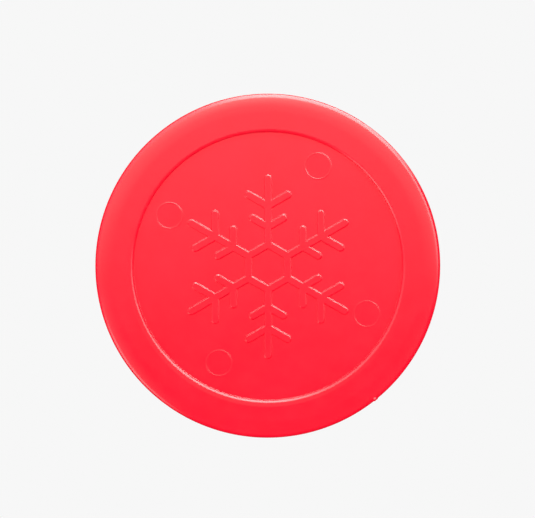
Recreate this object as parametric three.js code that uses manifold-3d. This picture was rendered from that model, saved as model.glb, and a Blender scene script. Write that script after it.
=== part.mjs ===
// An air-table puck, modelled the way it is made: one injection moulding in glossy
// red plastic, with a raised rim round a shallow recess on both faces.
//
// Millimetres, +Z up. The origin is the centre of the underside, in the plane of
// the rim that the puck glides on. The decorated face points up.

import * as THREE from 'three';
import { mergeVertices } from 'three/addons/utils/BufferGeometryUtils.js';
import Module from 'manifold-3d';

const { degToRad } = THREE.MathUtils;

// ---------------------------------------------------------------- dimensions

// Disc
const DIAMETER = 82.6; // 3 1/4 in
const THICKNESS = 5.0; // rim face to rim face
const CROWN_WIDTH = 3.4; // outer part of the rim face, which eases down
const CROWN_ANGLE = degToRad(7); // slope where the crown meets the edge fillet
const EDGE_WIDTH = 0.98; // edge fillet, measured along the radius

// Recess, the same on both faces
const RECESS_DIAMETER = 66; // at the rim face
const RECESS_DEPTH = 0.7;
const RECESS_WALL_ANGLE = degToRad(72); // from the horizontal, below the crest
const RECESS_CREST = 0.9; // radius where the wall rolls over into the rim face

// Snowflake of raised ribs on the upper floor
const ARM_COUNT = 6;
const ARM_LENGTH = 22; // centre to the rounded tip
const RIB_WIDTH = 1.7;
const RIB_HEIGHT = 0.3;
const RIB_CHAMFER = 0.1;
const HUB_RADIUS = 5.4; // corners of the hexagon, on the rib centre line
const BRANCH_ANGLE = degToRad(60); // from the arm, leaning outward
const BRANCHES = [
  { from: 9.6, length: 4.2 },
  { from: 14.6, length: 5.4 },
];

// Rings left by the ejector pins on the upper floor
const PIN_COUNT = 4;
const PIN_CIRCLE_RADIUS = 26.4;
const PIN_FIRST_ANGLE = degToRad(63.4);
const PIN_CIRCLE_CENTRE = new THREE.Vector2(0.1, 0.5); // the pins stand a little off the axis
const PIN_RADIUS = 3.08; // to the middle of the raised line
const PIN_LINE_WIDTH = 0.5;
const PIN_LINE_HEIGHT = 0.05;

// Trimmed gate on the side wall
const GATE_ANGLE = degToRad(309);
const GATE_WIDTH = 1.1;
const GATE_TOP = THICKNESS - 0.55; // just below the rim face
const GATE_BOTTOM = THICKNESS / 2; // at the parting line
const GATE_REACH = 0.12; // how far it stands out of the wall

// Fineness of the round shapes
const DISC_SEGMENTS = 80;
const PIN_SEGMENTS = 20;
const RIB_END_SEGMENTS = 4;
const ROOT_OVERLAP = 0.3; // how deep raised details reach into the disc

const radius = DIAMETER / 2;
const recessRadius = RECESS_DIAMETER / 2;
const upperFloor = THICKNESS - RECESS_DEPTH;

// ------------------------------------------------------------------- helpers

const wasm = await Module();
wasm.setup();

// A closed three.js geometry as a solid that can be joined and cut.
function solidFrom(geometry) {
  geometry.deleteAttribute('normal');
  geometry.deleteAttribute('uv');
  const merged = mergeVertices(geometry);
  const corners = merged.index.array;
  const triangles = [];
  for (let i = 0; i < corners.length; i += 3) {
    const [a, b, c] = corners.slice(i, i + 3);
    const flattened = a === b || b === c || c === a; // at the poles of a lathe
    if (!flattened) triangles.push(a, b, c);
  }
  const mesh = new wasm.Mesh({
    numProp: 3,
    vertProperties: new Float32Array(merged.attributes.position.array),
    triVerts: new Uint32Array(triangles),
  });
  return new wasm.Manifold(mesh);
}

function geometryFrom(solid) {
  const { vertProperties, triVerts } = solid.getMesh();
  const geometry = new THREE.BufferGeometry();
  geometry.setAttribute('position', new THREE.BufferAttribute(vertProperties, 3));
  geometry.setIndex(new THREE.BufferAttribute(triVerts, 1));
  geometry.computeVertexNormals();
  return geometry;
}

// A profile of (radius, height) points, turned about the Z axis.
function turned(profile, segments) {
  const geometry = new THREE.LatheGeometry(profile, segments);
  geometry.rotateX(Math.PI / 2);
  return geometry;
}

// Points along an arc, both ends included. Angles run anticlockwise from +X.
function arc(centre, arcRadius, fromAngle, toAngle, steps) {
  const points = [];
  for (let i = 0; i <= steps; i += 1) {
    const angle = THREE.MathUtils.lerp(fromAngle, toAngle, i / steps);
    const offset = new THREE.Vector2(Math.cos(angle), Math.sin(angle));
    points.push(offset.multiplyScalar(arcRadius).add(centre));
  }
  return points;
}

function polar(distance, angle) {
  return new THREE.Vector2(Math.cos(angle), Math.sin(angle)).multiplyScalar(distance);
}

// ---------------------------------------------------------------------- disc

// Half of the cross-section: from the recess floor's centre out to the side
// wall, as (radius, height), with the rim face at height 0 and the floor below.
function faceProfile() {
  const up = Math.PI / 2;
  const crestDrop = RECESS_CREST * (1 - Math.cos(RECESS_WALL_ANGLE));
  const crestRun = RECESS_CREST * Math.sin(RECESS_WALL_ANGLE);
  const wallRun = (RECESS_DEPTH - crestDrop) / Math.tan(RECESS_WALL_ANGLE);
  const floorRadius = recessRadius - crestRun - wallRun;
  const crestCentre = new THREE.Vector2(recessRadius, -RECESS_CREST);

  const edgeStart = radius - EDGE_WIDTH;
  const crownStart = edgeStart - CROWN_WIDTH;
  const crownRadius = CROWN_WIDTH / Math.sin(CROWN_ANGLE);
  const crownDrop = crownRadius * (1 - Math.cos(CROWN_ANGLE));
  const edgeRadius = EDGE_WIDTH / (1 - Math.sin(CROWN_ANGLE));
  const edgeHeight = -crownDrop - edgeRadius * Math.cos(CROWN_ANGLE);
  const crownCentre = new THREE.Vector2(crownStart, -crownRadius);
  const edgeCentre = new THREE.Vector2(radius - edgeRadius, edgeHeight);

  return [
    new THREE.Vector2(0, -RECESS_DEPTH),
    new THREE.Vector2(floorRadius, -RECESS_DEPTH),
    ...arc(crestCentre, RECESS_CREST, up + RECESS_WALL_ANGLE, up, 4),
    ...arc(crownCentre, crownRadius, up, up - CROWN_ANGLE, 2),
    ...arc(edgeCentre, edgeRadius, up - CROWN_ANGLE, 0, 4).slice(1),
  ];
}

function discSolid() {
  const face = faceProfile();
  const underside = face.map((point) => new THREE.Vector2(point.x, -point.y));
  const upperSide = face.map((point) => new THREE.Vector2(point.x, THICKNESS + point.y));
  return solidFrom(turned([...underside, ...upperSide.reverse()], DISC_SEGMENTS));
}

// ------------------------------------------------------------ raised details

// One rib with round ends, between two points on the upper floor.
function ribSolid(start, end) {
  const along = new THREE.Vector2().subVectors(end, start);
  const halfWidth = RIB_WIDTH / 2 - RIB_CHAMFER;
  const right = arc(new THREE.Vector2(along.length(), 0), halfWidth,
    -Math.PI / 2, Math.PI / 2, RIB_END_SEGMENTS);
  const left = arc(new THREE.Vector2(0, 0), halfWidth,
    Math.PI / 2, 3 * Math.PI / 2, RIB_END_SEGMENTS);
  const geometry = new THREE.ExtrudeGeometry(new THREE.Shape([...right, ...left]), {
    depth: ROOT_OVERLAP + RIB_HEIGHT - 2 * RIB_CHAMFER,
    bevelThickness: RIB_CHAMFER,
    bevelSize: RIB_CHAMFER,
    bevelSegments: 1,
  });
  geometry.rotateZ(along.angle());
  geometry.translate(start.x, start.y, upperFloor - ROOT_OVERLAP + RIB_CHAMFER);
  return solidFrom(geometry);
}

// The snowflake: a hexagon round the middle, with a branching arm from each corner.
function snowflakeRibs() {
  const ribs = [];
  for (let i = 0; i < ARM_COUNT; i += 1) {
    const angle = Math.PI / 2 + (i * 2 * Math.PI) / ARM_COUNT;
    const nextAngle = angle + (2 * Math.PI) / ARM_COUNT;
    const corner = polar(HUB_RADIUS, angle);
    ribs.push(ribSolid(corner, polar(ARM_LENGTH - RIB_WIDTH / 2, angle)));
    ribs.push(ribSolid(corner, polar(HUB_RADIUS, nextAngle)));
    for (const branch of BRANCHES) {
      const root = polar(branch.from, angle);
      for (const side of [-1, 1]) {
        const tip = polar(branch.length, angle + side * BRANCH_ANGLE).add(root);
        ribs.push(ribSolid(root, tip));
      }
    }
  }
  return ribs;
}

// A low raised line round each ejector pin's face.
function pinRings() {
  const halfWidth = PIN_LINE_WIDTH / 2;
  const profile = [
    new THREE.Vector2(PIN_RADIUS - halfWidth, -ROOT_OVERLAP),
    new THREE.Vector2(PIN_RADIUS + halfWidth, -ROOT_OVERLAP),
    new THREE.Vector2(PIN_RADIUS + halfWidth, 0),
    new THREE.Vector2(PIN_RADIUS, PIN_LINE_HEIGHT),
    new THREE.Vector2(PIN_RADIUS - halfWidth, 0),
    new THREE.Vector2(PIN_RADIUS - halfWidth, -ROOT_OVERLAP),
  ];
  const rings = [];
  for (let i = 0; i < PIN_COUNT; i += 1) {
    const angle = PIN_FIRST_ANGLE + (i * 2 * Math.PI) / PIN_COUNT;
    const centre = polar(PIN_CIRCLE_RADIUS, angle).add(PIN_CIRCLE_CENTRE);
    const ring = turned(profile, PIN_SEGMENTS);
    ring.translate(centre.x, centre.y, upperFloor);
    rings.push(solidFrom(ring));
  }
  return rings;
}

// The stub that stays on the side wall where the plastic was let in.
function gateSolid() {
  const rootRadius = radius - EDGE_WIDTH;
  const tipRadius = radius + GATE_REACH;
  const length = tipRadius - rootRadius;
  const geometry = new THREE.BoxGeometry(length, GATE_WIDTH, GATE_TOP - GATE_BOTTOM);
  geometry.translate((tipRadius + rootRadius) / 2, 0, (GATE_TOP + GATE_BOTTOM) / 2);
  geometry.rotateZ(GATE_ANGLE);
  return solidFrom(geometry);
}

// -------------------------------------------------------------------- object

function puckBody() {
  let solid = discSolid();
  for (const detail of [...snowflakeRibs(), ...pinRings(), gateSolid()]) {
    solid = solid.add(detail);
  }
  const glossyRed = new THREE.MeshStandardMaterial({
    color: 0xe3142b,
    roughness: 0.22,
    metalness: 0,
    flatShading: true,
  });
  const mesh = new THREE.Mesh(geometryFrom(solid), glossyRed);
  mesh.name = 'puck_body';
  return mesh;
}

const group = new THREE.Group();
group.add(puckBody());

export default group;
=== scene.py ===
"""Looks for an air-table puck: one glossy red moulding with a rim, a recess and raised details.

The puck is turned from a traced cross-section. Its upper floor is a triangulated relief
whose edges follow the contours of the snowflake ribs and of the ejector-pin rings.
Sizes named *_MM are in millimetres and the others in metres. North is +Y, east is +X.
"""

import math

import bpy
import numpy as np
from mathutils import Matrix, Vector
from mathutils.geometry import delaunay_2d_cdt


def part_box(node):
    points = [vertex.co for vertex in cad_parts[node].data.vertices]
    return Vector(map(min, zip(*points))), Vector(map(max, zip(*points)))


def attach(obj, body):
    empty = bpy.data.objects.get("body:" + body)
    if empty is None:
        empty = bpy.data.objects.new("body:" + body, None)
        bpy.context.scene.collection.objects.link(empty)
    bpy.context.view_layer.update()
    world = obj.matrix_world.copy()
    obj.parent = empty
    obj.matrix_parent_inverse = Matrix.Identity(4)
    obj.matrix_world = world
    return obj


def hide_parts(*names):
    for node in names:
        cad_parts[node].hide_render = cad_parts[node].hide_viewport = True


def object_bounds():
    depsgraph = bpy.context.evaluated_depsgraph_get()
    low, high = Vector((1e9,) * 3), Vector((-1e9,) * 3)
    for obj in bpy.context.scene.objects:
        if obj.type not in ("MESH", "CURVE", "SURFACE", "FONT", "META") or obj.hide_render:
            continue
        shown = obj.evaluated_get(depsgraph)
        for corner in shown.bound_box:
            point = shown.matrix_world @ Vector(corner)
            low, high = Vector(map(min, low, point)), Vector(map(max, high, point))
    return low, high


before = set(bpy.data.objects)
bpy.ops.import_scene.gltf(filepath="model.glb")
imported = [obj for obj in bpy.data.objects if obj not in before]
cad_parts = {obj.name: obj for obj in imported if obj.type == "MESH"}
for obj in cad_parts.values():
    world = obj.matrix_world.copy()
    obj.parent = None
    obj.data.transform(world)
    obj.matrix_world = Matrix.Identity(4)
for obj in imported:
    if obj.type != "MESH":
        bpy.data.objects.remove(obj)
cad_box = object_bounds()

# ------------------------------------------------------------------ sizes

MM = 0.001
NODE = "puck_body"
BOX_LOW, BOX_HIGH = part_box(NODE)
RADIUS_MM = (BOX_HIGH.x - BOX_LOW.x) / 2 / MM
THICKNESS_MM = (BOX_HIGH.z - BOX_LOW.z) / MM

# Cross-section of one face
RECESS_RADIUS_MM = 32.88            # at the crest of the recess wall
RECESS_CENTRE_MM = np.array([0.0, 0.07])    # a little off the disc's axis
RECESS_DEPTH_MM = 0.7
RECESS_WALL_ANGLE = math.radians(72)
RECESS_CREST_MM = 0.75              # rounding where the wall meets the rim face
RECESS_FOOT_MM = 0.08               # rounding where the wall meets the floor
MARGIN_WIDTH_MM = 0.86              # strip of the rim face next to the recess, which sinks a
MARGIN_SLOPE = math.radians(2.4)    # little toward the recess on one side of the disc
MARGIN_ANGLE = math.radians(250)    # where it sinks most
MARGIN_EDGE_MM = 0.1
CROWN_WIDTH_MM = 3.4                # outer part of the rim face, which eases down
CROWN_ANGLE = math.radians(7)
EDGE_WIDTH_MM = 0.98                # edge fillet, measured along the radius
PARTING_RADIUS_MM = 0.05            # the line where the two mould halves met
PARTING_ANGLE = math.radians(50)

# Snowflake of raised ribs
ARM_COUNT = 6
ARM_LENGTH_MM = 22.0
RIB_WIDTH_MM = 1.7
RIB_HEIGHT_MM = 0.3
RIB_WALL_ANGLE = math.radians(62)
RIB_CREST_MM = 0.22
RIB_FOOT_MM = 0.12
HUB_RADIUS_MM = 5.4
BRANCH_ANGLE = math.radians(60)
BRANCHES_MM = [(9.6, 4.2), (14.6, 5.4)]     # distance from the centre, length

# Rings left by the ejector pins
PIN_COUNT = 4
PIN_CIRCLE_MM = 26.4
PIN_FIRST_ANGLE = math.radians(63.4)
PIN_CIRCLE_CENTRE_MM = np.array([0.1, 0.5])     # the pins stand a little off the axis
PIN_RADIUS_MM = 3.08
PIN_LINE_ANGLE = math.radians(15)
PIN_LINE_BEND_MM = 0.2
PIN_LINE_FLANK_MM = 0.12
PIN_STRONG_ANGLE = math.radians(55)     # each line stands highest on this side and opposite
PIN_WEAK_SHARE = 0.25                   # its height halfway between, as a share
PIN_SHARES = (1.0, 0.9, 0.75, 0.75)     # how high each pin's line stands

# Trimmed gate
GATE_ANGLE = math.radians(309)
GATE_WIDTH_MM = 1.1
GATE_TOP_MM = THICKNESS_MM - 0.55
GATE_BOTTOM_MM = THICKNESS_MM / 2
GATE_REACH_MM = 0.07
GATE_SOFTNESS_MM = 0.14
GATE_RAGGED_MM = 0.02
GLINT_DEPTH_MM = 0.35                # the middle of the painted highlight at the gate, below the rim face
GLINT_RADII_MM = (0.42, 0.18)        # where its paleness starts and is full

# Linear colours
DEEP_RED = (0.80, 0.0031, 0.0232, 1)
BRIGHT_RED = (0.88, 0.0044, 0.0262, 1)
# Painted highlight: the pale red of a small spot at the top of the gate
GATE_GLINT_RED = (0.9, 0.16, 0.2, 1)
SHEET_GREY = (0.55, 0.55, 0.55, 1)
PALE = 0.93                         # the floor and the backdrop, as the camera sees them

# Floor sheet
SHEET_RADIUS = 3.0
SHEET_CORNERS = 96
CONTACT_REACH = 5 * THICKNESS_MM * MM

# Camera
CAMERA_TARGET = Vector((-0.00015, 0.00196, cad_box[1].z))
CAMERA_AZIMUTH = 104                # degrees, anticlockwise from +X
CAMERA_ZENITH = 4.3                 # degrees from straight above
CAMERA_DISTANCE = 0.5
LENS = 140.9                        # millimetres, like the sensor's width
SENSOR = 36

# Fineness
DISC_COLUMNS = 360
GATE_COLUMNS = 28
PIN_POINTS = 60                     # in each contour round a pin
CAP_POINTS = 13                     # in each round end of a rib's contour
BEND_STEP = math.radians(7)
FLOOR_GRID_MM = 1.6
CONTOUR_STEP_MM = 1.0
TOUCHING_MM = 1e-4                  # points nearer than this count as touching
TINY = 1e-9                         # keeps a division away from zero
STEEPEST_LEAN = 0.95                # the longest a normal's level part may be


# ------------------------------------------------------- traced outlines

class Outline:
    """A smooth outline: straight runs and bends that join without a corner.

    Each row is (across, height, slope). A positive turn bends the outline upward.
    """

    def __init__(self, across, height, slope=0.0):
        self.rows = [(across, height, slope)]

    def run(self, length, steps=1):
        across, height, slope = self.rows[-1]
        for i in range(1, steps + 1):
            done = length * i / steps
            self.rows.append((across + done * math.cos(slope),
                              height + done * math.sin(slope), slope))
        return self

    def bend(self, radius, turn, step=BEND_STEP):
        across, height, slope = self.rows[-1]
        side = math.copysign(radius, turn)
        centre_across = across - side * math.sin(slope)
        centre_height = height + side * math.cos(slope)
        steps = max(2, math.ceil(abs(turn) / step))
        for i in range(1, steps + 1):
            angle = slope + turn * i / steps
            self.rows.append((centre_across + side * math.sin(angle),
                              centre_height - side * math.cos(angle), angle))
        return self

    def end(self):
        return self.rows[-1]

    def table(self):
        return np.array(self.rows)


def trace_step(outline, drop, angle, crest, foot):
    """A step down: crest bend, straight wall and foot bend."""
    bends_drop = (crest + foot) * (1 - math.cos(angle))
    wall = (drop - bends_drop) / math.sin(angle)
    return outline.bend(crest, -angle).run(wall).bend(foot, angle)


def trace_face():
    """One face's share of the cross-section, from the recess floor's edge to mid height."""
    angle = RECESS_WALL_ANGLE
    bends = RECESS_CREST_MM + RECESS_FOOT_MM
    wall = (RECESS_DEPTH_MM - bends * (1 - math.cos(angle))) / math.sin(angle)
    wall_run = bends * math.sin(angle) + wall * math.cos(angle)
    edge_start = RADIUS_MM - EDGE_WIDTH_MM
    crown_bend = CROWN_WIDTH_MM / math.sin(CROWN_ANGLE)
    edge_bend = EDGE_WIDTH_MM / (1 - math.sin(CROWN_ANGLE))
    quarter = math.pi / 2

    outline = Outline(RECESS_RADIUS_MM - wall_run, THICKNESS_MM - RECESS_DEPTH_MM)
    outline.bend(RECESS_FOOT_MM, angle, math.radians(12)).run(wall)
    outline.bend(RECESS_CREST_MM, -angle, math.radians(6))
    for width in (MARGIN_EDGE_MM, MARGIN_WIDTH_MM - 2 * MARGIN_EDGE_MM, MARGIN_EDGE_MM):
        outline.run(width, steps=2)
    outline.run(edge_start - CROWN_WIDTH_MM - outline.end()[0], steps=2)
    outline.bend(crown_bend, -CROWN_ANGLE, CROWN_ANGLE / 6)
    outline.bend(edge_bend, CROWN_ANGLE - quarter, math.radians(5))
    parting_height = 2 * PARTING_RADIUS_MM * math.sin(PARTING_ANGLE)
    outline.run(outline.end()[1] - THICKNESS_MM / 2 - parting_height, steps=6)
    outline.bend(PARTING_RADIUS_MM, PARTING_ANGLE, math.radians(17))
    outline.bend(PARTING_RADIUS_MM, -PARTING_ANGLE, math.radians(17))
    return outline.table()


def trace_rib():
    """Height of a rib above the floor against the distance from its centre line."""
    outline = Outline(0, RIB_HEIGHT_MM)
    trace_step(outline, RIB_HEIGHT_MM, RIB_WALL_ANGLE, RIB_CREST_MM, RIB_FOOT_MM)
    table = outline.table()
    middle = table[:, 0].mean()
    table[:, 0] += RIB_WIDTH_MM / 2 - middle
    return table


def trace_pin():
    """Height round an ejector pin against the distance from the pin's centre."""
    angle, bend, flank = PIN_LINE_ANGLE, PIN_LINE_BEND_MM, PIN_LINE_FLANK_MM
    outline = Outline(0, 0)
    outline.bend(bend, angle).run(flank)
    outline.bend(bend, -2 * angle).run(flank).bend(bend, angle)
    table = outline.table()
    table[:, 0] += PIN_RADIUS_MM - table[:, 0].mean()
    return table


# ---------------------------------------------------------------- relief

def polar(distance, angle):
    return np.array([math.cos(angle), math.sin(angle)]) * distance


def snowflake_ribs():
    """Centre lines of the ribs, as pairs of points."""
    ribs = []
    turn = 2 * math.pi / ARM_COUNT
    for i in range(ARM_COUNT):
        angle = math.pi / 2 + i * turn
        corner = polar(HUB_RADIUS_MM, angle)
        ribs.append((corner, polar(ARM_LENGTH_MM - RIB_WIDTH_MM / 2, angle)))
        ribs.append((corner, polar(HUB_RADIUS_MM, angle + turn)))
        for start, length in BRANCHES_MM:
            root = polar(start, angle)
            for side in (-1, 1):
                ribs.append((root, root + polar(length, angle + side * BRANCH_ANGLE)))
    return ribs


def pin_centres():
    turn = 2 * math.pi / PIN_COUNT
    return [PIN_CIRCLE_CENTRE_MM + polar(PIN_CIRCLE_MM, PIN_FIRST_ANGLE + i * turn)
            for i in range(PIN_COUNT)]


def from_rib(points, rib):
    """Distances to a rib's centre line, and the unit directions away from it."""
    start, end = rib
    along = end - start
    share = np.clip((points - start) @ along / (along @ along), 0, 1)
    offset = points - start - share[:, None] * along
    distance = np.linalg.norm(offset, axis=1)
    return distance, offset / np.maximum(distance, TINY)[:, None]


class Relief:
    """Raised details on the upper floor: height and surface normal at any point."""

    def __init__(self):
        self.ribs = snowflake_ribs()
        self.pins = pin_centres()
        self.rib_table = trace_rib()
        self.pin_table = trace_pin()

    def rib_surface(self, points):
        """Heights, and the level parts of the normals, that the ribs give."""
        measured = [from_rib(points, rib) for rib in self.ribs]
        nearest = np.min([distance for distance, _ in measured], axis=0)
        across, height, slope = self.rib_table.T
        tilt = -np.sin(np.interp(nearest, across, slope, left=0, right=0))
        lean = np.zeros((len(points), 2))
        for distance, direction in measured:
            closest = distance < nearest + TOUCHING_MM
            lean += closest[:, None] * direction * tilt[:, None]
        return np.interp(nearest, across, height), lean

    def pin_surface(self, offsets, share):
        """The same for one pin, at offsets from its centre. share scales its line."""
        distance = np.linalg.norm(offsets, axis=1)
        direction = offsets / np.maximum(distance, TINY)[:, None]
        strong = (direction @ polar(1, PIN_STRONG_ANGLE)) ** 2
        stand = share * (PIN_WEAK_SHARE + (1 - PIN_WEAK_SHARE) * strong)
        across, height, slope = self.pin_table.T
        tilt = -np.sin(stand * np.interp(distance, across, slope, left=0, right=0))
        return stand * np.interp(distance, across, height), direction * tilt[:, None]

    def surface(self, points):
        """Heights above the floor, and unit normals."""
        heights, lean = self.rib_surface(points)
        for centre, share in zip(self.pins, PIN_SHARES):
            pin_heights, pin_lean = self.pin_surface(points - centre, share)
            heights += pin_heights
            lean += pin_lean
        length = np.linalg.norm(lean, axis=1)
        lean *= np.minimum(1, STEEPEST_LEAN / np.maximum(length, TINY))[:, None]
        upright = np.sqrt(1 - (lean ** 2).sum(axis=1))
        return heights, np.column_stack([lean, upright])

    def contours(self):
        """Polylines of constant height, which the floor's triangles follow."""
        lines = []
        for distance in self.rib_table[:, 0]:
            for rib in self.ribs:
                lines += self.open_runs(capsule(rib, distance), distance)
        for radius in self.pin_table[:, 0]:
            for centre in self.pins:
                lines.append((centre + circle(radius, PIN_POINTS), True))
        return lines

    def open_runs(self, loop, distance):
        """The parts of a rib's contour that no other rib covers."""
        nearest = np.min([from_rib(loop, rib)[0] for rib in self.ribs], axis=0)
        clear = nearest > distance - TOUCHING_MM
        if clear.all():
            return [(loop, True)]
        first = int(np.argmin(clear))
        loop, clear = np.roll(loop, -first, axis=0), np.roll(clear, -first)
        runs, run = [], []
        for i in range(len(loop)):
            after = clear[(i + 1) % len(loop)]
            if clear[i] or after or run:
                run.append(loop[i])
            if run and not clear[i] and len(run) > 1:
                runs.append((np.array(run), False))
                run = [loop[i]] if after else []
        if len(run) > 1:
            runs.append((np.array(run + [loop[0]]), False))
        return runs


def circle(radius, count):
    angles = np.arange(count) * 2 * math.pi / count
    return np.column_stack([np.cos(angles), np.sin(angles)]) * radius


def capsule(rib, distance):
    """The loop at a fixed distance round a rib's centre line."""
    start, end = rib
    along = end - start
    heading = math.atan2(along[1], along[0])
    steps = max(1, round(np.linalg.norm(along) / CONTOUR_STEP_MM))
    turns = np.linspace(-math.pi / 2, math.pi / 2, CAP_POINTS)
    cap = np.column_stack([np.cos(heading + turns), np.sin(heading + turns)]) * distance
    side = along * (np.arange(1, steps) / steps)[:, None]
    return np.vstack([end + cap, end + cap[-1] - side, start - cap, start + cap[0] + side])


def floor_grid(radius):
    """Points on a triangular grid, so that flat stretches get even triangles."""
    reach = math.ceil(radius / FLOOR_GRID_MM) + 1
    points = []
    for row in range(-2 * reach, 2 * reach + 1):
        for column in range(-reach, reach + 1):
            point = np.array([column + 0.5 * (row % 2), row * math.sqrt(3) / 2])
            points.append(point * FLOOR_GRID_MM)
    points = np.array(points)
    return points[np.linalg.norm(points, axis=1) < radius - FLOOR_GRID_MM / 2]


def triangulate(boundary, lines, loose):
    """Triangles over a round floor, with the given lines as edges.

    Returns the points, the triangles and, for each point, its place in the boundary
    or -1.
    """
    points, edges = [], []
    for line, closed in [(boundary, True)] + lines:
        first = len(points)
        points += [Vector(point) for point in line]
        count = len(line)
        edges += [(first + i, first + i + 1) for i in range(count - 1)]
        if closed:
            edges.append((first + count - 1, first))
    points += [Vector(point) for point in loose]
    plan, _, faces, origins, _, _ = delaunay_2d_cdt(points, edges, [], 0, TOUCHING_MM)
    on_ring = [min([i for i in origin if i < len(boundary)], default=-1) for origin in origins]
    return np.array([tuple(point) for point in plan]), faces, on_ring


# ------------------------------------------------------------- puck mesh

class MeshParts:
    """Vertices, normals and faces gathered from several patches."""

    def __init__(self):
        self.points, self.normals, self.faces = [], [], []

    def add_point(self, point, normal):
        self.points.append(tuple(point))
        self.normals.append(tuple(normal))
        return len(self.points) - 1


def column_angles():
    """Angles round the disc: even steps, with finer ones across the gate."""
    even = np.arange(DISC_COLUMNS) * 2 * math.pi / DISC_COLUMNS
    half = (GATE_WIDTH_MM / 2 + 2 * GATE_SOFTNESS_MM) / RADIUS_MM
    fine = GATE_ANGLE + np.linspace(-half, half, GATE_COLUMNS)
    clear = np.abs(even - GATE_ANGLE) > half * 1.1
    return np.sort(np.concatenate([even[clear], fine]))


def soft_step(value, edge):
    """0 well below the edge, 1 well above it."""
    share = np.clip((value - edge) / GATE_SOFTNESS_MM + 0.5, 0, 1)
    return share * share * (3 - 2 * share)


def gate_push(angle, radius, height):
    """How far the gate's torn, uneven stub pushes the side wall out at a point."""
    along = abs((angle - GATE_ANGLE) * RADIUS_MM)
    inside = soft_step(GATE_WIDTH_MM / 2, along)
    inside *= soft_step(height, GATE_BOTTOM_MM) * soft_step(GATE_TOP_MM, height)
    inside *= radius > RADIUS_MM - EDGE_WIDTH_MM
    ragged = GATE_RAGGED_MM * math.sin(9 * along + 5 * height) * math.cos(7 * height)
    return inside * max(0.0, RADIUS_MM + GATE_REACH_MM + ragged - radius)


def margin_sink(radius, height):
    """Drop and slope of the sunken strip beside the recess, where it sinks most."""
    if height < THICKNESS_MM / 2:
        return 0.0, 0.0
    outer = RECESS_RADIUS_MM + MARGIN_WIDTH_MM
    inner = RECESS_RADIUS_MM + MARGIN_EDGE_MM
    corners = (RECESS_RADIUS_MM, inner, outer - MARGIN_EDGE_MM, outer)
    slope = MARGIN_SLOPE * np.interp(radius, corners, (0, 1, 1, 0))
    drop = math.tan(MARGIN_SLOPE) * np.clip(outer - radius, 0, outer - inner)
    above_floor = (height - THICKNESS_MM) / RECESS_DEPTH_MM + 1
    return drop * min(1.0, above_floor), slope


def turn_profile(parts, profile, angles):
    """The turned surface between the two floors. Returns its rings of vertices.

    From the recess out to the crown, the surface moves from the recess's centre to the
    disc's axis.
    """
    flat_start = RECESS_RADIUS_MM + MARGIN_WIDTH_MM
    crown_start = RADIUS_MM - EDGE_WIDTH_MM - CROWN_WIDTH_MM
    rings = []
    for radius, height, slope in profile:
        drop, lean = margin_sink(radius, height)
        shift = np.interp(radius, (flat_start, crown_start), (1, 0))
        ring = []
        for angle in angles:
            share = (0.5 + 0.5 * math.cos(angle - MARGIN_ANGLE)) ** 2
            tilt = slope + share * lean
            out = Vector((math.cos(angle), math.sin(angle), 0))
            place = out * (radius + gate_push(angle, radius, height))
            place += Vector((*RECESS_CENTRE_MM, 0)) * shift
            place.z = height - share * drop
            normal = out * -math.sin(tilt) + Vector((0, 0, math.cos(tilt)))
            ring.append(parts.add_point(place * MM, normal))
        rings.append(ring)
    for inner, outer in zip(rings, rings[1:]):
        for column in range(len(angles)):
            before = column - 1
            parts.faces.append((inner[before], outer[before], outer[column], inner[column]))
    return rings


def add_floor(parts, ring, boundary, height, lines, surface, facing):
    """A round floor inside a ring. facing is 1 for the upper face, -1 for the lower."""
    radius = np.linalg.norm(boundary, axis=1).min()
    plan, faces, on_ring = triangulate(boundary, lines, floor_grid(radius))
    rises, normals = surface(plan)
    index = []
    for (x, y), rise, normal, place in zip(plan, rises, normals, on_ring):
        if place >= 0:
            index.append(ring[place])
            continue
        point = Vector((x, y, height + facing * rise)) * MM
        index.append(parts.add_point(point, normal * (1, 1, facing)))
    for face in faces:
        corners = [index[i] for i in face]
        parts.faces.append(tuple(corners if facing > 0 else corners[::-1]))


def plain(points):
    """A floor without details, for the underside."""
    upright = np.tile([0.0, 0.0, 1.0], (len(points), 1))
    return np.zeros(len(points)), upright


def build_puck():
    parts = MeshParts()
    relief = Relief()
    angles = column_angles()
    upper = trace_face()
    lower = upper[-2::-1] * (1, -1, -1) + (0, THICKNESS_MM, math.pi)
    rings = turn_profile(parts, np.vstack([upper, lower]), angles)
    floor_radius, floor_height, _ = upper[0]
    boundary = np.column_stack([np.cos(angles), np.sin(angles)]) * floor_radius
    boundary += RECESS_CENTRE_MM
    add_floor(parts, rings[0], boundary, floor_height,
              relief.contours(), relief.surface, 1)
    add_floor(parts, rings[-1], boundary, THICKNESS_MM - floor_height, [], plain, -1)
    mesh = bpy.data.meshes.new("puck")
    mesh.from_pydata(parts.points, [], parts.faces)
    mesh.shade_smooth()
    mesh.normals_split_custom_set_from_vertices(parts.normals)
    puck = bpy.data.objects.new("puck", mesh)
    bpy.context.scene.collection.objects.link(puck)
    return puck


# ------------------------------------------------------------- materials

def new_material(name):
    material = bpy.data.materials.new(name)
    material.use_nodes = True
    material.node_tree.nodes.clear()
    return material, material.node_tree


def math_node(tree, operation, *values):
    """A math node fed by sockets or plain numbers. Returns its output."""
    node = tree.nodes.new("ShaderNodeMath")
    node.operation = operation
    for place, value in enumerate(values):
        if isinstance(value, (int, float)):
            node.inputs[place].default_value = value
        else:
            tree.links.new(value, node.inputs[place])
    return node.outputs[0]


def length_node(tree, first, second):
    """The length of a level vector, from its two parts."""
    squares = [math_node(tree, "MULTIPLY", part, part) for part in (first, second)]
    return math_node(tree, "SQRT", math_node(tree, "ADD", *squares))


def distance_node(tree, place, point):
    """Distance from a place socket to a fixed point."""
    node = tree.nodes.new("ShaderNodeVectorMath")
    node.operation = "DISTANCE"
    tree.links.new(place, node.inputs[0])
    node.inputs[1].default_value = point
    return node.outputs["Value"]


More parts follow.
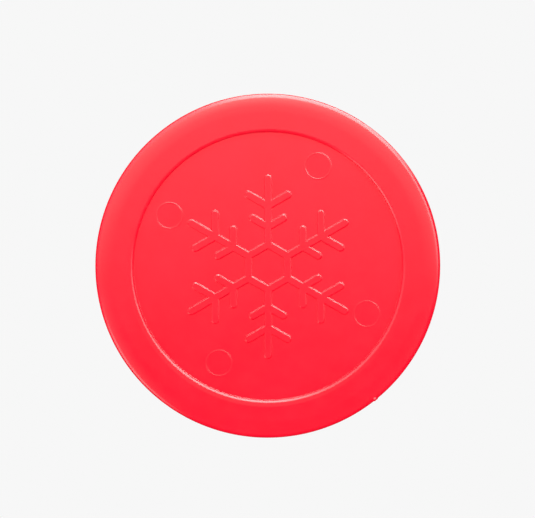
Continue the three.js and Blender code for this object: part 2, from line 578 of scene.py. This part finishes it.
def mix_colours(tree, first, second, share):
    """first and second are colours or colour sockets. Returns the mixed colour."""
    node = tree.nodes.new("ShaderNodeMix")
    node.data_type = "RGBA"
    for name, colour in (("A", first), ("B", second)):
        if isinstance(colour, tuple):
            node.inputs[name].default_value = colour
        else:
            tree.links.new(colour, node.inputs[name])
    tree.links.new(share, node.inputs["Factor"])
    return node.outputs["Result"]


def fade(tree, value, start, stop, low=0.0, high=1.0, kind="SMOOTHSTEP"):
    """A change from low at start to high at stop, smooth unless kind is LINEAR."""
    node = tree.nodes.new("ShaderNodeMapRange")
    node.interpolation_type = kind
    tree.links.new(value, node.inputs["Value"])
    node.inputs["From Min"].default_value = start
    node.inputs["From Max"].default_value = stop
    node.inputs["To Min"].default_value = low
    node.inputs["To Max"].default_value = high
    return node.outputs["Result"]


def noise(tree, place, size_mm, detail=2.0, roughness=0.5):
    """Cloudy noise with features of the given size. Returns its value, 0 to 1."""
    node = tree.nodes.new("ShaderNodeTexNoise")
    tree.links.new(place, node.inputs["Vector"])
    node.inputs["Scale"].default_value = 1 / (size_mm * MM)
    node.inputs["Detail"].default_value = detail
    node.inputs["Roughness"].default_value = roughness
    return node.outputs["Fac"]


def bump(tree, height, rise_mm, below=None):
    node = tree.nodes.new("ShaderNodeBump")
    node.inputs["Distance"].default_value = rise_mm * MM
    tree.links.new(height, node.inputs["Height"])
    if below:
        tree.links.new(below, node.inputs["Normal"])
    return node.outputs["Normal"]


def scuffs(tree, place, angle, length_mm, width_mm, share):
    """Fine straight marks in one direction, 0 to 1. A greater share means fewer."""
    mapping = tree.nodes.new("ShaderNodeMapping")
    tree.links.new(place, mapping.inputs["Vector"])
    mapping.inputs["Rotation"].default_value = (0, 0, math.radians(angle))
    mapping.inputs["Scale"].default_value = (width_mm / length_mm, 1, 1)
    return fade(tree, noise(tree, mapping.outputs["Vector"], width_mm), share, share + 0.12)


def from_pin(tree, place):
    """Distance to the nearest ejector pin's centre, measured in plan."""
    flat = tree.nodes.new("ShaderNodeVectorMath")
    flat.operation = "MULTIPLY"
    flat.inputs[1].default_value = (1, 1, 0)
    tree.links.new(place, flat.inputs[0])
    nearest, *others = [distance_node(tree, flat.outputs["Vector"], (x * MM, y * MM, 0))
                        for x, y in pin_centres()]
    for distance in others:
        nearest = math_node(tree, "MINIMUM", nearest, distance)
    return nearest


def red_plastic():
    """Glossy moulded plastic: soft colour clouds, faint waviness and fine handling marks."""
    material, tree = new_material("red_plastic")
    link = tree.links.new
    place = tree.nodes.new("ShaderNodeTexCoord").outputs["Object"]
    split = tree.nodes.new("ShaderNodeSeparateXYZ")
    link(place, split.inputs["Vector"])
    x, y, _ = split.outputs
    across = length_node(tree, x, y)
    clouds = fade(tree, noise(tree, place, 9, 3), 0.3, 0.7)
    colour = mix_colours(tree, DEEP_RED, BRIGHT_RED, clouds)

    # A painted highlight: the plastic is painted pale in a small spot at the top of the gate
    spot = (*polar(RADIUS_MM - EDGE_WIDTH_MM / 2, GATE_ANGLE), THICKNESS_MM - GLINT_DEPTH_MM)
    from_spot = distance_node(tree, place, Vector(spot) * MM)
    torn = fade(tree, from_spot, *(radius * MM for radius in GLINT_RADII_MM))
    colour = mix_colours(tree, colour, GATE_GLINT_RED, torn)

    # The mould was polished on its flats and left duller where the recess wall was cut
    foot = (RECESS_RADIUS_MM - RECESS_CREST_MM) * MM
    crest = RECESS_RADIUS_MM * MM
    inner = fade(tree, across, foot - 0.3 * MM, foot)
    outer = fade(tree, across, crest + 0.1 * MM, crest - 0.2 * MM)
    wall = math_node(tree, "MULTIPLY", inner, outer)

    # Painted shade: the shine is painted lower in the corner of the recess, where the wall
    # hides light from the floor. The pins' faces take a little less shine too
    corner = math_node(tree, "MULTIPLY", fade(tree, across, foot - 1.6 * MM, foot),
                       fade(tree, across, crest, foot))
    shine_with_painted_shade = fade(tree, corner, 0, 1, 0.5, 0.44, "LINEAR")
    pin_shine = fade(tree, from_pin(tree, place), 2.6 * MM, 3.1 * MM, 0.88, 1)
    shine_with_painted_shade = math_node(tree, "MULTIPLY", shine_with_painted_shade, pin_shine)

    # Roughness: clouds of gloss, the recess wall and the handling marks
    marks = math_node(tree, "MAXIMUM", scuffs(tree, place, 35, 5, 0.07, 0.67),
                      scuffs(tree, place, -62, 7, 0.06, 0.68))
    dull = fade(tree, noise(tree, place, 3.2, 4, 0.6), 0.25, 0.8, 0.09, 0.14)
    dull = math_node(tree, "MULTIPLY_ADD", wall, 0.06, dull)
    dull = math_node(tree, "MULTIPLY_ADD", marks, 0.1, dull)

    # Waviness, grain and the depth of the marks
    relief = bump(tree, noise(tree, place, 4.5, 1), 0.005)
    relief = bump(tree, noise(tree, place, 0.35, 2), 0.0004, relief)
    relief = bump(tree, marks, -0.0003, relief)

    surface = tree.nodes.new("ShaderNodeBsdfPrincipled")
    link(colour, surface.inputs["Base Color"])
    link(dull, surface.inputs["Roughness"])
    link(shine_with_painted_shade, surface.inputs["Specular IOR Level"])
    link(relief, surface.inputs["Normal"])
    surface.inputs["IOR"].default_value = 1.55
    output = tree.nodes.new("ShaderNodeOutputMaterial")
    link(surface.outputs["BSDF"], output.inputs["Surface"])
    return material


def pale_floor():
    """Even and pale to the camera, with a soft contact shadow in low views."""
    material, tree = new_material("pale_floor")
    link = tree.links.new
    output = tree.nodes.new("ShaderNodeOutputMaterial")
    mix = tree.nodes.new("ShaderNodeMixShader")
    diffuse = tree.nodes.new("ShaderNodeBsdfDiffuse")
    diffuse.inputs["Color"].default_value = SHEET_GREY
    contact = tree.nodes.new("ShaderNodeAmbientOcclusion")
    contact.inputs["Distance"].default_value = CONTACT_REACH
    facing = tree.nodes.new("ShaderNodeLayerWeight").outputs["Facing"]
    strength = fade(tree, facing, 0.02, 0.3, 0, 0.8)
    shade = math_node(tree, "SUBTRACT", 1.0, contact.outputs["AO"])
    shade = math_node(tree, "MULTIPLY", shade, strength)
    glow = tree.nodes.new("ShaderNodeEmission")
    glow.inputs["Color"].default_value = (1, 1, 1, 1)
    link(math_node(tree, "MULTIPLY_ADD", shade, -PALE, PALE), glow.inputs["Strength"])
    path = tree.nodes.new("ShaderNodeLightPath")
    link(path.outputs["Is Camera Ray"], mix.inputs["Fac"])
    link(diffuse.outputs["BSDF"], mix.inputs[1])
    link(glow.outputs["Emission"], mix.inputs[2])
    link(mix.outputs["Shader"], output.inputs["Surface"])
    return material


# ----------------------------------------------------------------- stage

def direction(azimuth, zenith):
    """Unit vector. Azimuth is anticlockwise from +X, zenith is the angle from +Z."""
    a, z = math.radians(azimuth), math.radians(zenith)
    return Vector((math.cos(a) * math.sin(z), math.sin(a) * math.sin(z), math.cos(z)))


def add_floor_sheet():
    """A round sheet under the puck, which glossy surfaces don't mirror."""
    mesh = bpy.data.meshes.new("floor_sheet")
    corners = [(x, y, cad_box[0].z) for x, y in circle(SHEET_RADIUS, SHEET_CORNERS)]
    mesh.from_pydata(corners, [], [tuple(range(SHEET_CORNERS))])
    sheet = bpy.data.objects.new("floor_sheet", mesh)
    sheet.data.materials.append(pale_floor())
    sheet.visible_glossy = False
    bpy.context.scene.collection.objects.link(sheet)


def sky_panel(tree, sky, azimuth, half_width, side_fade, top, bottom, radiance):
    """A soft panel of light in the surroundings, as a value socket.

    All in degrees. azimuth is its middle, and top and bottom are pairs of angles from
    straight up between which the panel fades in and out.
    """
    x, y, zenith = sky
    turn = math.radians(azimuth)
    ahead = math_node(tree, "ADD", math_node(tree, "MULTIPLY", x, math.cos(turn)),
                      math_node(tree, "MULTIPLY", y, math.sin(turn)))
    aside = math_node(tree, "SUBTRACT", math_node(tree, "MULTIPLY", y, math.cos(turn)),
                      math_node(tree, "MULTIPLY", x, math.sin(turn)))
    off_axis = math_node(tree, "ABSOLUTE", math_node(tree, "ARCTAN2", aside, ahead))
    off_axis = math_node(tree, "DEGREES", off_axis)
    value = fade(tree, off_axis, half_width + side_fade, half_width - side_fade)
    value = math_node(tree, "MULTIPLY", value, fade(tree, zenith, *top))
    value = math_node(tree, "MULTIPLY", value, fade(tree, zenith, bottom[1], bottom[0]))
    return math_node(tree, "MULTIPLY", value, radiance)


def mirrored_light(tree, x, y, zenith):
    """The surroundings as glossy surfaces mirror them, as a value socket."""
    sky = (x, y, zenith)
    light = fade(tree, zenith, 60, 30, 0.005, 0.13)

    # The ceiling glows, except where the camera hides it, and more so to the north
    east = math_node(tree, "DEGREES", math_node(tree, "ARCSINE", x))
    north = math_node(tree, "DEGREES", math_node(tree, "ARCSINE", y))
    from_camera = length_node(tree, math_node(tree, "SUBTRACT", east, 1.3),
                              math_node(tree, "SUBTRACT", north, -16.5))
    ceiling = math_node(tree, "ADD", fade(tree, from_camera, 8, 26, 0, 0.55, "LINEAR"),
                        fade(tree, north, -7.0, 1.2, 0, 0.86, "LINEAR"))
    ceiling = math_node(tree, "MULTIPLY", ceiling, fade(tree, zenith, 28, 21))
    light = math_node(tree, "ADD", light, ceiling)

    panels = [
        sky_panel(tree, sky, 70, 34, 17, (14, 40), (106, 130), 7.6),
        sky_panel(tree, sky, 92, 40, 38, (6, 19), (100, 125), 3.1),
        sky_panel(tree, sky, 136, 57, 31, (12, 33), (74, 95), 1.2),
        sky_panel(tree, sky, 20, 24, 18, (16, 27), (48, 84), 4.9),
        sky_panel(tree, sky, 221, 16, 12, (10, 48), (75, 95), 3.2),
    ]
    for panel in panels:
        light = math_node(tree, "ADD", light, panel)
    return light


def background(tree, colour, strength):
    """A world background. Each input is a plain value or a socket."""
    node = tree.nodes.new("ShaderNodeBackground")
    for name, value in (("Color", colour), ("Strength", strength)):
        if isinstance(value, bpy.types.NodeSocket):
            tree.links.new(value, node.inputs[name])
        else:
            node.inputs[name].default_value = value
    return node.outputs["Background"]


def add_world():
    """A soft studio, with its own light for glossy surfaces, matt ones and the camera."""
    world = bpy.data.worlds.new("studio")
    world.cycles.sampling_method = "NONE"     # so that each kind of ray meets its own light
    world.use_nodes = True
    tree = world.node_tree
    tree.nodes.clear()
    link = tree.links.new
    coordinates = tree.nodes.new("ShaderNodeTexCoord")
    split = tree.nodes.new("ShaderNodeSeparateXYZ")
    link(coordinates.outputs["Generated"], split.inputs["Vector"])
    x, y, z = split.outputs
    zenith = math_node(tree, "DEGREES", math_node(tree, "ARCCOSINE", z))

    # Matt surfaces are lit by a dome that is brighter to the north
    path = tree.nodes.new("ShaderNodeLightPath")
    mirrored = mirrored_light(tree, x, y, zenith)
    dome = math_node(tree, "MULTIPLY_ADD", y, 0.6, 1.45)
    change = math_node(tree, "SUBTRACT", dome, mirrored)
    total = math_node(tree, "MULTIPLY_ADD", path.outputs["Is Diffuse Ray"], change, mirrored)

    # The ceiling is a little warmer than the panels
    tint = tree.nodes.new("ShaderNodeCombineColor")
    tint.inputs["Red"].default_value = 1
    tint.inputs["Green"].default_value = 1
    link(fade(tree, zenith, 14, 30, 0.85, 0.96), tint.inputs["Blue"])

    mix = tree.nodes.new("ShaderNodeMixShader")
    link(path.outputs["Is Camera Ray"], mix.inputs["Fac"])
    link(background(tree, tint.outputs["Color"], total), mix.inputs[1])
    link(background(tree, (PALE, PALE, PALE, 1), 1), mix.inputs[2])
    output = tree.nodes.new("ShaderNodeOutputWorld")
    link(mix.outputs["Shader"], output.inputs["Surface"])
    bpy.context.scene.world = world


def add_camera():
    """A long lens almost straight above, a little to the north of the puck's axis."""
    camera = bpy.data.cameras.new("camera")
    camera.lens = LENS
    camera.sensor_width = SENSOR
    camera.clip_start = 0.01
    holder = bpy.data.objects.new("camera", camera)
    back = direction(CAMERA_AZIMUTH, CAMERA_ZENITH)
    side = Vector((0, 1, 0)).cross(back).normalized()
    up = back.cross(side)
    rotation = Matrix((side, up, back)).transposed().to_4x4()
    holder.matrix_world = Matrix.Translation(CAMERA_TARGET + back * CAMERA_DISTANCE) @ rotation
    bpy.context.scene.collection.objects.link(holder)
    bpy.context.scene.camera = holder


puck = build_puck()
puck.data.materials.append(red_plastic())
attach(puck, "root")
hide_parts(NODE)

add_floor_sheet()
add_world()
add_camera()
bpy.context.scene.view_settings.view_transform = "Standard"
